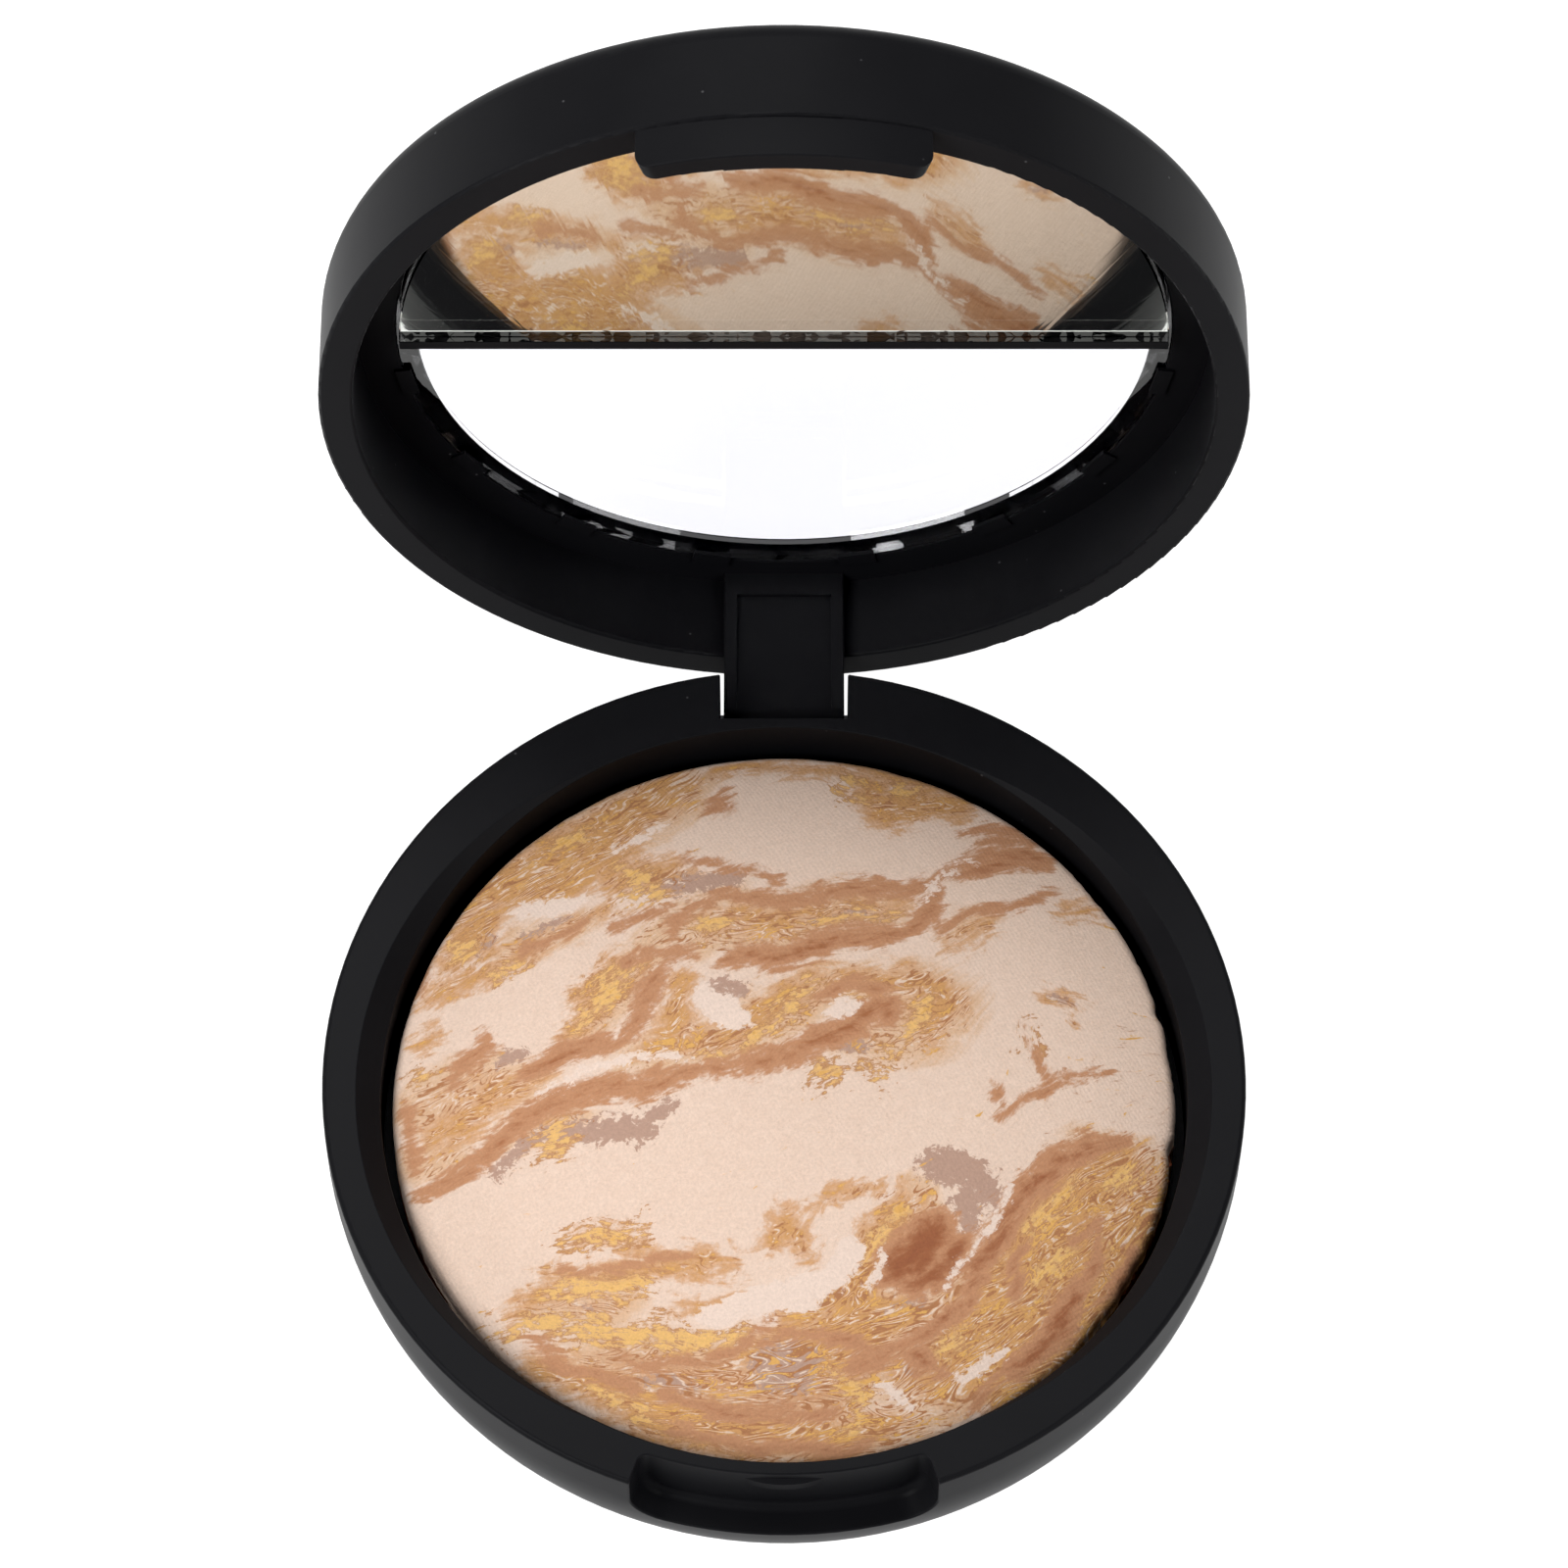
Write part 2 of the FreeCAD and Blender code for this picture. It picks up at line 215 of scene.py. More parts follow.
def silvering():
    """Silver layer seen through the glass: a clean, slightly warm mirror."""
    material, tree = new_material("mirror_silvering")
    shader = add(tree, "ShaderNodeBsdfPrincipled", {
        "Base Color": linear("#f3f1ee"), "Metallic": 1.0, "Roughness": 0.015})
    finish_material(tree, shader)
    return material


def plain_finish(name, colour, roughness, metallic=0.0, grain_mm=0.3, grain_depth_mm=0.01):
    """A plain surface with its own fine grain, for pieces that hardly show."""
    material, tree = new_material(name)
    grain = add(tree, "ShaderNodeTexNoise", {"Vector": millimetres(tree), "Scale": 1 / grain_mm,
                                             "Detail": 4.0})
    dark = [c * 0.82 for c in linear(colour)[:3]] + [1.0]
    tone = add(tree, "ShaderNodeMix", {"Factor": grain.outputs["Fac"], "A": dark, "B": linear(colour)},
               data_type="RGBA")
    bump = add(tree, "ShaderNodeBump", {"Height": grain.outputs["Fac"], "Strength": 0.4,
                                        "Distance": grain_depth_mm * MM})
    shader = add(tree, "ShaderNodeBsdfPrincipled", {
        "Base Color": tone.outputs["Result"], "Roughness": roughness, "Metallic": metallic,
        "Normal": bump.outputs[0]})
    finish_material(tree, shader)
    return material


# ---------------------------------------------------------------- marbled powder

POWDER_Y_MM = (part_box("baked_powder")[0].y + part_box("baked_powder")[1].y) / 2 / MM
BAKED_EDGE_Z_MM = 7.9

# Streaks of colour as brush paths: ((x, y), ...), half width. Millimetres, from the powder's centre.
OCHRE = [
    (((-27, 18.5), (-22, 21), (-18, 23.4), (-14.4, 25.4), (-11, 28), (-8.5, 30.5)), 2.5),
    (((-25, 18), (-17.5, 21), (-12.5, 23.6)), 2.0), (((-27.6, 12.6), (-26, 15.5), (-24, 16.8)), 2.0),
    (((-30.5, 8.6), (-25.7, 11.2), (-21, 13.2), (-17, 15.8), (-12, 17.2)), 0.8),
    (((-15, 19.6), (-11.5, 20.5), (-8, 19.6)), 1.6),
    (((6.4, 29.4), (8.2, 27.2), (12.4, 27.6), (15.5, 27.0)), 1.7),
    (((-8, 30.6), (0, 31.4), (8, 30.6), (14, 28.4)), 0.5),
    (((-7.2, 15.0), (-4, 16.6), (2, 16.4), (9.8, 17.4)), 1.2),
    (((-11.3, 3.4), (-6.2, 4.4), (-2.4, 6.4), (0, 8.6), (3, 10.2)), 1.6),
    (((3.6, 10.2), (8.8, 9.8), (12.6, 8.8), (13.2, 7.0), (10.6, 4.8)), 1.4),
    (((-17.5, 5.4), (-15.4, 8.4), (-12.6, 11.2)), 1.5), (((-8.4, 11), (-8.8, 7.6), (-9.6, 4.6)), 1.1),
    (((-30, -3.4), (-26.3, -2.0), (-23.2, 0.2), (-20, 1.2)), 1.2), (((-19.2, -2.0), (-18.6, -5.0)), 1.0),
    (((-22.4, -20.4), (-18.5, -17.4), (-13.4, -15.8), (-8.2, -15.3), (-4.6, -14.8)), 1.1),
    (((-19.6, -23.6), (-13.4, -26.4), (-7.2, -28.6), (1, -29.6), (8.3, -28.8)), 2.4),
    (((-3.4, -23.6), (2, -22.6), (7, -20.6), (11, -19.4)), 2.6),
    (((0, -19.8), (5, -17.4), (7.4, -14), (9.8, -10.8)), 2.2),
    (((27.6, -5.6), (23.6, -9.8), (21.5, -15), (17.6, -20.6), (12.4, -25.4)), 4.6),
    (((30, -9), (27.5, -15), (23, -21), (17, -26.5)), 3.6),
    (((0, -10.8), (4, -9.6), (7.4, -8.9), (11, -10)), 0.35),
    (((-1.2, -13.8), (0.4, -12.4), (1.6, -14.4)), 1.0), (((-8.4, -18.6), (-3, -18), (-0.4, -19.6)), 0.5),
    (((13.6, 13.8), (15.6, 14.6), (17.4, 15.8)), 0.8), (((21.6, 9.2), (23.8, 8.6), (24.6, 7.2)), 0.6),
    (((23, 17.0), (26, 17.6)), 0.35), (((-17, -12.9), (-11.6, -12.2)), 0.6),
    (((-30.6, 4.8), (-28, 6.2)), 0.5)]
TAUPE = [
    (((-24.2, -6.8), (-20.6, -4.4), (-16.5, -3.6), (-13.2, -2.9), (-9.0, -1.4)), 1.25),
    (((-14.4, -3.2), (-10.8, -3.6)), 1.0), (((12.0, -7.4), (14, -6.8), (17.6, -9.4)), 1.9),
    (((14.4, -8.6), (15.2, -12)), 1.5), (((-3, -24.4), (3, -23.4)), 1.6),
    (((15.6, -10), (14.8, -13.6), (11.8, -17.4), (8.6, -19)), 0.7), (((3.8, 4.6), (6.8, 3.4)), 1.2),
    (((-10.2, 19.6), (-6.2, 18.9), (-4, 19.8)), 1.1), (((-21.6, 14.2), (-18.2, 16.4)), 0.7),
    (((2, 15.3), (6.2, 16.2), (8.4, 16.0)), 0.55), (((-6.6, 8.6), (-3.0, 9.2)), 1.3),
    (((-24, 3.0), (-21.6, 3.8)), 0.9), (((-1, -22.6), (1.6, -24.2), (-1.6, -26)), 1.5),
    (((-18.8, -17.8), (-15.8, -19.2)), 0.4), (((22.2, 9.6), (24.2, 8.2)), 0.4),
    (((-12, -24.6), (-7, -25.6)), 0.7), (((-25.6, 13.4), (-24.4, 15.6)), 0.5),
    (((9.6, -24.8), (13, -22.4)), 0.7)]
GOLD = [
    (((-27.4, 15.2), (-26.6, 13.2)), 1.1), (((-24.4, 11.6), (-21.6, 12.4)), 0.5),
    (((-19.4, 24.2), (-16.4, 24.8)), 0.6), (((-17.2, 6.0), (-14.9, 8.8), (-11.8, 11.4)), 0.75),
    (((-13.4, 21.2), (-12.2, 19), (-13.4, 17.4)), 0.7), (((-11.6, 20.4), (-10.0, 17.4)), 0.5),
    (((-3.6, 3.4), (-1, 6.0), (1.2, 8.8), (3, 9.6)), 0.55), (((4.1, 8.8), (6.6, 9.2), (8.2, 8.4)), 0.6),
    (((8.6, 3.6), (10.8, 5.6), (12.4, 7.4)), 0.5), (((-19.2, -5.2), (-17.9, -3.2)), 0.9),
    (((-17.8, -13.3), (-14.8, -12.7), (-11.6, -12.0)), 0.4),
    (((-19.2, -18.2), (-15.2, -17.0), (-10.8, -16.9)), 0.95),
    (((-23, -20.5), (-19.6, -20.4), (-15.2, -20.8), (-10.6, -21.4), (-5.8, -21.8), (-2.8, -21.4)), 0.95),
    (((-15.6, -25.6), (-13.2, -26.8), (-10.6, -28)), 0.6),
    (((6.2, -15.2), (8.2, -12.6), (9.8, -10.9)), 0.7), (((18.5, -16), (20.0, -11.4), (23.4, -7.4)), 0.8),
    (((23, -13.4), (20.6, -17)), 0.7), (((26.5, -7.6), (29.2, -6.4)), 0.6),
    (((4.2, -24), (6.2, -26.6), (5, -29.2)), 0.5), (((15, -20.4), (12.4, -23.6)), 0.5),
    (((5.6, 29.6), (6.1, 27.6)), 0.7), (((9.2, 29.4), (10.8, 28.8)), 0.35),
    (((-7.4, 14.8), (-5.4, 15.2)), 0.6), (((1.6, 14.6), (5.2, 15.7), (8.8, 16.8)), 0.35),
    (((20.6, 3.2), (20.0, 5.8)), 0.16), (((-30.4, 1.4), (-29.6, 2.0)), 0.4),
    (((-9, -29.6), (-3, -30.6)), 0.4), (((25.8, -12), (24.6, -17.4)), 0.5),
    (((-8.4, 3.0), (-5, 3.2)), 0.35), (((2.2, 1.6), (4.4, 1.8)), 0.4), (((7.2, 2.0), (8.0, 1.2)), 0.3)]
TAN = [
    (((-9, 14), (0, 15.6), (9, 16.6)), 2.4), (((-12.5, 2.6), (-6, 4.4), (0, 7.6), (4, 10)), 2.4),
    (((3, 10), (9, 9.4), (13.4, 8.2), (11, 5), (5, 4.4)), 2.2), (((-31, -1.6), (-26, 1), (-20, 0.6)), 2.2),
    (((-31, -5.6), (-27, -5)), 1.6), (((-16, -22), (-8, -25.4), (2, -25.4), (8, -21.4)), 4.4),
    (((-14, -27), (0, -30), (12, -28.4)), 2.4), (((9, -25), (19, -20)), 4.8),
    (((5.6, -19.4), (9, -13), (11.4, -9.4)), 2.2), (((-21, -19.6), (-12, -18)), 2.0),
    (((-27, 17), (-14, 25.6), (-8, 30)), 3.4), (((-24, -3.8), (-16, -2.4)), 1.4),
    (((-17.4, 4.8), (-12.6, 9.6), (-9.6, 15), (-4, 18.2)), 1.4), (((-24, 12.6), (-15, 16.6)), 1.4),
    (((24, -6), (29, -9), (27, -17), (19, -25)), 4.4), (((16.6, -15), (13, -20)), 2.4),
    (((13.6, 14.4), (17, 16)), 1.0)]
RUSSET = [
    (((-30, -8.4), (-27.2, -7.0), (-23.6, -3.9), (-19, -1.2), (-14.4, 0.3), (-9.8, 0.7), (-5, 1.9)), 0.85),
    (((-5, 1.9), (-0.5, 3.0), (3.2, 4.4), (6.8, 5.2)), 0.9),
    (((-21.4, 1.8), (-18.4, 3.5), (-13.6, 4.4)), 0.95),
    (((-13.4, 4.4), (-11.8, 7.2), (-10.3, 10.8), (-8.4, 12.8)), 0.6),
    (((-13, 11.3), (-10.8, 12.9), (-7.6, 12.6)), 0.4),
    (((-10, 13.4), (-8.7, 15.8), (-6.2, 17.4), (-3, 18.1)), 0.4),
    (((-3, 18.1), (1, 17.7), (5.2, 18.1), (9.8, 19), (12.4, 19.8)), 0.62),
    (((12.4, 19.8), (15, 21.5), (17.6, 23.4), (19.8, 24.0)), 0.4),
    (((14.6, 20.6), (17.6, 21.9), (20.4, 22.7), (22.6, 21.9)), 0.85),
    (((-5, 11.8), (-2, 12.5), (2, 13.0), (6.2, 14.2), (9.8, 14.9)), 1.1),
    (((9.8, 14.9), (11.8, 17), (12.7, 19.6)), 0.8),
    (((12.7, 14.9), (15.5, 16.2), (18, 17.2), (20.6, 18.5), (22.4, 19.3)), 0.38),
    (((2.2, 3.9), (5.2, 5.3), (7.4, 6.8), (9.4, 8)), 1.1), (((7.4, 7.6), (9.4, 6.6)), 1.0),
    (((2.4, 8.4), (6, 9.6), (9.6, 8.6)), 0.5), (((9.6, -17.2), (13.6, -15.6), (14.8, -12.8)), 1.5),
    (((23, -13), (25.6, -10.4)), 0.3), (((24, -16.4), (22.4, -20), (18.6, -24.4)), 1.1),
    (((10.6, -22.4), (12.6, -24.2)), 1.1), (((-1.6, -22.4), (3.4, -21.4), (8, -22.8)), 0.3),
    (((16.4, 2.0), (17.6, -0.6)), 0.15),
    (((17.4, -1.8), (19.6, -0.1), (22.2, 1.0), (24.8, 1.8), (27.2, 2)), 0.24),
    (((21.4, 1.2), (20.4, 3.6), (19.9, 6.2)), 0.16), (((8.4, -16.2), (10.8, -14.2), (12.6, -11.9)), 2.3),
    (((28, -3.8), (24.4, -4.7), (21.7, -6.4),
      (19.4, -9.2), (17.6, -12.4), (16.4, -15.5), (15.4, -18)), 1.0),
    (((15.4, -18), (12.4, -20.6), (8.8, -22.5), (5.8, -23.6)), 0.7), (((10.8, -23.8), (13.4, -24.2)), 0.8),
    (((25.4, -10.8), (24.8, -15.4), (22.2, -19.6), (19.6, -23.2), (15.5, -27.2)), 0.42),
    (((28.6, -12.6), (26, -18)), 0.35), (((-9.4, -26.3), (-5, -27.6), (-1, -28), (4, -27.2)), 0.45),
    (((-18, -16.2), (-14.4, -15.7), (-8.2, -14.6)), 0.22),
    (((-15, -22.8), (-10.8, -23.8), (-7.2, -23.2), (-3.2, -22.2), (-1, -20.6)), 0.25),
    (((-27.4, 1.0), (-25.8, 3.4), (-24.6, 5.4)), 0.6),
    (((-8.2, 21.6), (-5.8, 20.7), (-2.6, 20.1), (0, 19.8)), 0.25), (((-6.2, 26.8), (-4.6, 28.3)), 0.5),
    (((-14.4, 14.9), (-11.4, 16.2), (-9.2, 17)), 0.5), (((-22, 12.8), (-18.6, 14.4), (-16.2, 15.8)), 0.25),
    (((-29.4, 12), (-30, 10)), 0.5), (((-31, -1), (-30.6, -6)), 0.45),
    (((14.8, 24.4), (18.2, 25.0), (21, 23.6)), 0.4), (((-20.4, -21.6), (-17, -24), (-12, -25.4)), 0.3),
    (((-9, -29.4), (0, -30.9), (7, -30)), 0.35), (((19.4, -12.6), (18.8, -18)), 0.4)]
PALE = [
    (((-7, -19.4), (-1, -18.2), (3.6, -16.2), (5.4, -13.6)), 1.5),
    (((18.8, -8.2), (17, -11.4), (15.4, -14.6), (13.4, -17.4)), 0.24), (((-6.6, 8.8), (-3.6, 6.2)), 1.5),
    (((3.4, 6.6), (5.8, 7.4)), 0.75), (((-13.6, 22.6), (-9.8, 25.4)), 0.3),
    (((11.6, 18.2), (12.8, 20.0), (15.4, 21.8)), 0.14), (((6.8, -17.4), (8, -14.8)), 0.3),
    (((14.6, -24.8), (18.4, -22)), 0.5), (((-22, 17.2), (-17, 18.4)), 0.9),
    (((-20, -0.2), (-13, 2.6), (-8, 2.6)), 0.22), (((7.4, -25.6), (10, -27.4)), 0.4)]
SHADES = {"tan": TAN, "ochre": OCHRE, "taupe": TAUPE, "gold": GOLD, "russet": RUSSET, "pale": PALE}
PATH_STEPS = 5            # straight runs per span of a brush path
FIELD_REACH_MM = 4.0      # a streak's field is followed this far from its path
STIR_DEG = 30             # general direction of the stirring
STIR_SEED = 1795043458    # without a seed, vector noise follows the clock
FLOW_HALF_MM = 36.0
FLOW_PITCH_MM = 0.75
FLOW_REACH_MM = 2.2       # how far a streak turns the stirring beside it
THREAD_BANDS = 75.0       # how closely the agate-like threads lie
CLOTH_PITCH_MM = 0.5
CLOTH_TURN_DEG = 14
DOME_DRAW_MM = 2.15       # how far doming the cake drew the middle of its marbling towards the front


def smooth_path(points):
    """Catmull-Rom curve through the points of a brush path."""
    p = np.array([points[0], *points, points[-1]], float)
    out = []
    for a, b, c, d in zip(p, p[1:], p[2:], p[3:]):
        for t in np.arange(PATH_STEPS) / PATH_STEPS:
            out.append(0.5 * (2 * b + (c - a) * t + (2 * a - 5 * b + 4 * c - d) * t * t
                              + (3 * b - a - 3 * c + d) * t ** 3))
    return np.array(out + [p[-1]])


def streak_field(place, streaks):
    """Millimetres inside the nearest streak's outline, negative outside. Streaks thin out at both ends."""
    field = np.full(len(place), -FIELD_REACH_MM)
    for points, half_width in streaks:
        path = smooth_path(points)
        near = np.all((place > path.min(0) - FIELD_REACH_MM) & (place < path.max(0) + FIELD_REACH_MM), axis=1)
        q = place[near]
        best = np.full(len(q), -FIELD_REACH_MM)
        count = len(path) - 1
        for i in range(count):
            a, run = path[i], path[i + 1] - path[i]
            t = np.clip((q - a) @ run / max(run @ run, 1e-9), 0, 1)
            gap = np.hypot(*(q - a - t[:, None] * run).T)
            along = (i + t) / count
            best = np.maximum(best, half_width * (0.35 + 0.65 * np.sin(np.pi * along) ** 0.6) - gap)
        field[near] = np.maximum(field[near], best)
    return field


def stirred(x, y, size, reach, seed):
    """A point moved about by a smooth vector noise."""
    shift = noise.noise_vector(Vector((x / size, y / size, seed)))
    return x + reach * shift.x, y + reach * shift.y


def from_slopes(slope_x, slope_y, pitch):
    """The smooth surface whose slopes come nearest to these, by a Fourier solution on a mirrored grid."""
    mirrored_x = np.block([[slope_x, -slope_x[:, ::-1]], [slope_x[::-1], -slope_x[::-1, ::-1]]])
    mirrored_y = np.block([[slope_y, slope_y[:, ::-1]], [-slope_y[::-1], -slope_y[::-1, ::-1]]])
    waves = 2 * np.pi * np.fft.fftfreq(len(mirrored_x), pitch)
    wave_x, wave_y = np.meshgrid(waves, waves)
    stiffness = wave_x ** 2 + wave_y ** 2
    stiffness[0, 0] = 1.0
    spectrum = -1j * (wave_x * np.fft.fft2(mirrored_x) + wave_y * np.fft.fft2(mirrored_y)) / stiffness
    return np.real(np.fft.ifft2(spectrum))[:len(slope_x), :len(slope_x)]


def stirring_flow():
    """Two grids over the cake: how far along the stirring each place is, and how far across it."""
    side = np.arange(-FLOW_HALF_MM, FLOW_HALF_MM + FLOW_PITCH_MM, FLOW_PITCH_MM)
    x, y = np.meshgrid(side, side)
    general = math.radians(STIR_DEG)
    turn_cos, turn_sin = np.full(x.shape, 0.02), np.zeros(x.shape)
    for streaks in SHADES.values():
        for points, half_width in streaks:
            path = smooth_path(points)
            for a, b in zip(path, path[1:]):
                run = b - a
                pull = np.hypot(*run) * (0.4 + half_width) * np.exp(
                    -((x - a[0]) ** 2 + (y - a[1]) ** 2) / (2 * FLOW_REACH_MM ** 2))
                twice = 2 * (math.atan2(run[1], run[0]) - general)
                turn_cos += pull * math.cos(twice)
                turn_sin += pull * math.sin(twice)
    heading = general + 0.5 * np.arctan2(turn_sin, turn_cos)
    along = from_slopes(np.cos(heading), np.sin(heading), FLOW_PITCH_MM)
    across = from_slopes(-np.sin(heading), np.cos(heading), FLOW_PITCH_MM)
    return along, across


def read_grid(grid, x, y):
    """A grid's value between its points."""
    u, v = (x + FLOW_HALF_MM) / FLOW_PITCH_MM, (y + FLOW_HALF_MM) / FLOW_PITCH_MM
    i, j = int(u), int(v)
    u, v = u - i, v - j
    return ((grid[j, i] * (1 - u) + grid[j, i + 1] * u) * (1 - v)
            + (grid[j + 1, i] * (1 - u) + grid[j + 1, i + 1] * u) * v)


def brush_marbling(mesh, radius):
    """Stores the streak fields, the place that fine streaks follow, and where the cake is dark or scraped."""
    noise.seed_set(STIR_SEED)
    along, across = stirring_flow()
    spots = []
    lean = []
    scrape = []
    depth = []
    for vert in mesh.vertices:
        x, y = vert.co.x / MM, vert.co.y / MM - POWDER_Y_MM
        flat_y = y + DOME_DRAW_MM * (1 - (x * x + y * y) / radius ** 2)
        spots.append(stirred(*stirred(x, flat_y, 6.0, 0.9, 1.5), 2.2, 0.5, 7.5))
        u, v = stirred(x, flat_y, 3.0, 0.5, 3.5)
        lean.extend((read_grid(along, u, v), read_grid(across, u, v), 0.0))
        rim = max(0.0, math.hypot(x, y) - 19) / 12
        depth.append(min(1.0, max(0.0, (x - flat_y - 12) / 10)))
        scrape.append(min(1.0, rim) * max(0.0, min(1.0, (x - 8) / 14)) * (0.75 if y > -4 else 1.0))
    spots = np.array(spots)
    fields = {shade: streak_field(spots, streaks) for shade, streaks in SHADES.items()}
    fields["worked"] = np.max([fields[shade] for shade in ("tan", "ochre", "gold", "russet")], axis=0)
    fields["scrape"] = np.array(scrape)
    fields["depth"] = np.array(depth)
    for name, field in fields.items():
        mesh.attributes.new(name, "FLOAT", "POINT").data.foreach_set("value", field)
    mesh.attributes.new("lean", "FLOAT_VECTOR", "POINT").data.foreach_set("vector", lean)


def layer(tree, below, colour, field, start, end):
    """Lays a colour over the one below, from nothing at start to all at end."""
    mask = add(tree, "ShaderNodeMapRange", {"Value": field, "From Min": start, "From Max": end},
               interpolation_type="SMOOTHSTEP")
    return add(tree, "ShaderNodeMix", {"Factor": mask.outputs[0], "A": below, "B": colour},
               data_type="RGBA").outputs["Result"]


def marbled_powder():
    """Baked powder: shades of slurry stirred together, pressed under cloth and dried matt."""
    material, tree = new_material("marbled_baked_powder")
    place = add(tree, "ShaderNodeVectorMath", {0: millimetres(tree), 1: (0, POWDER_Y_MM, 0)},
                operation="SUBTRACT").outputs[0]
    lean = add(tree, "ShaderNodeAttribute", attribute_name="lean").outputs["Vector"]

    def streaks(seed, length_mm, width_mm, detail=5.0, distortion=1.0):
        """Noise drawn out along the stirring, about 0.5."""
        drawn = add(tree, "ShaderNodeVectorMath", {0: lean, 1: (1 / length_mm, 1 / width_mm, 1)},
                    operation="MULTIPLY").outputs[0]
        return add(tree, "ShaderNodeTexNoise", {
            "Vector": drawn, "W": seed, "Scale": 1.0, "Detail": detail, "Roughness": 0.62,
            "Distortion": distortion}, noise_dimensions="4D").outputs["Fac"]

    def total(value, *terms):
        """Adds each (source, weight) to a value."""
        for source, weight in terms:
            value = add(tree, "ShaderNodeMath", {0: source, 1: weight, 2: value},
                        operation="MULTIPLY_ADD").outputs[0]
        return value

    def field(shade):
        return add(tree, "ShaderNodeAttribute", attribute_name=shade).outputs["Fac"]

    coarse = streaks(1.3, 3.6, 0.9)
    fine = streaks(5.1, 1.6, 0.42)
    strands = streaks(9.7, 11.0, 2.6, 2.0, 1.8)
    ragged = add(tree, "ShaderNodeTexNoise", {
        "Vector": place, "Scale": 1.1, "Detail": 7.0, "Roughness": 0.72, "Distortion": 0.5}).outputs["Fac"]
    worked = field("worked")

    # The terms after each field pull its outline in and out, in millimetres for each unit of noise.
    tone = add(tree, "ShaderNodeMix", {"Factor": ragged, "A": linear("#ead2c1"), "B": linear("#dcbfab")},
               data_type="RGBA").outputs["Result"]
    tan = total(field("tan"), (coarse, 5.0), (ragged, 2.0), (-3.5, 1.0))
    tone = layer(tree, tone, linear("#d9b494"), tan, -1.6, 0.6)
    tone = layer(tree, tone, linear("#c9976f"), tan, 0.4, 3.4)
    ochre = total(field("ochre"), (coarse, 6.0), (ragged, 3.0), (-4.5, 1.0))
    tone = layer(tree, tone, linear("#d1a47f"), ochre, -1.0, 0.2)
    tone = layer(tree, tone, linear("#cb9862"), ochre, 0.0, 1.0)
    taupe = total(field("taupe"), (fine, 1.5), (ragged, 5.5), (-3.5, 1.0))
    tone = layer(tree, tone, linear("#b69482"), taupe, 0.0, 0.35)

    # Threads drawn out of each shade, in agate-like bands, where the slurry was worked most.
    bands = add(tree, "ShaderNodeMath", {0: add(tree, "ShaderNodeMath", {0: strands, 1: THREAD_BANDS},
                operation="MULTIPLY").outputs[0]}, operation="SINE").outputs[0]
    body = add(tree, "ShaderNodeMapRange", {"Value": total(worked, (ragged, 5.0), (-2.3, 1.0)),
               "From Min": -0.6, "From Max": 1.2}).outputs[0]
    thread = add(tree, "ShaderNodeMath", {0: bands, 1: body}, operation="MULTIPLY").outputs[0]
    brown_thread = total(thread, (fine, 2.4), (field("depth"), 0.3), (-1.2, 1.0))
    pale_thread = total(add(tree, "ShaderNodeMath", {0: thread, 1: -1.0}, operation="MULTIPLY").outputs[0],
                        (fine, 3.0), (-1.5, 1.0))
    tone = layer(tree, tone, linear("#e3c9b5"), pale_thread, 0.75, 1.1)
    tone = layer(tree, tone, linear("#ad7750"), brown_thread, 0.5, 0.95)

    gold = total(field("gold"), (fine, 7.0), (coarse, 3.0), (ragged, 5.0), (-7.8, 1.0))
    tone = layer(tree, tone, linear("#b9875d"), total(gold, (coarse, 3.0), (-1.5, 1.0)), -0.9, -0.35)
    tone = layer(tree, tone, linear("#d8ab74"), gold, -0.35, -0.05)
    tone = layer(tree, tone, linear("#e4b671"), gold, 0.05, 0.5)
    gold_thread = total(thread, (coarse, 7.0), (ragged, 2.0), (field("depth"), 0.3), (-4.5, 1.0))
    tone = layer(tree, tone, linear("#dba85f"), gold_thread, 1.2, 1.5)

    russet = total(field("russet"), (coarse, 3.0), (fine, 2.0), (ragged, 1.5), (-3.25, 1.0))
    tone = layer(tree, tone, linear("#be8a66"), russet, -0.7, 0.1)
    tone = layer(tree, tone, linear("#a0643f"), russet, 0.2, 1.6)
    umber = add(tree, "ShaderNodeMath", {0: russet, 1: field("depth")}, operation="MULTIPLY").outputs[0]
    tone = layer(tree, tone, linear("#925639"), umber, -0.2, 3.0)
    pale = total(field("pale"), (fine, 2.0), (ragged, 3.0), (-2.5, 1.0))
    tone = layer(tree, tone, linear("#e6cfc0"), pale, -0.3, 0.1)

    grain = add(tree, "ShaderNodeTexNoise", {
        "Vector": place, "Scale": 4.2, "Detail": 3.0, "Roughness": 0.8}).outputs["Fac"]
    shade = add(tree, "ShaderNodeMapRange", {
        "Value": grain, "From Min": 0.25, "From Max": 0.75, "To Min": 0.84, "To Max": 1.09}).outputs[0]
    tone = add(tree, "ShaderNodeVectorMath", {0: tone, "Scale": shade}, operation="SCALE").outputs[0]

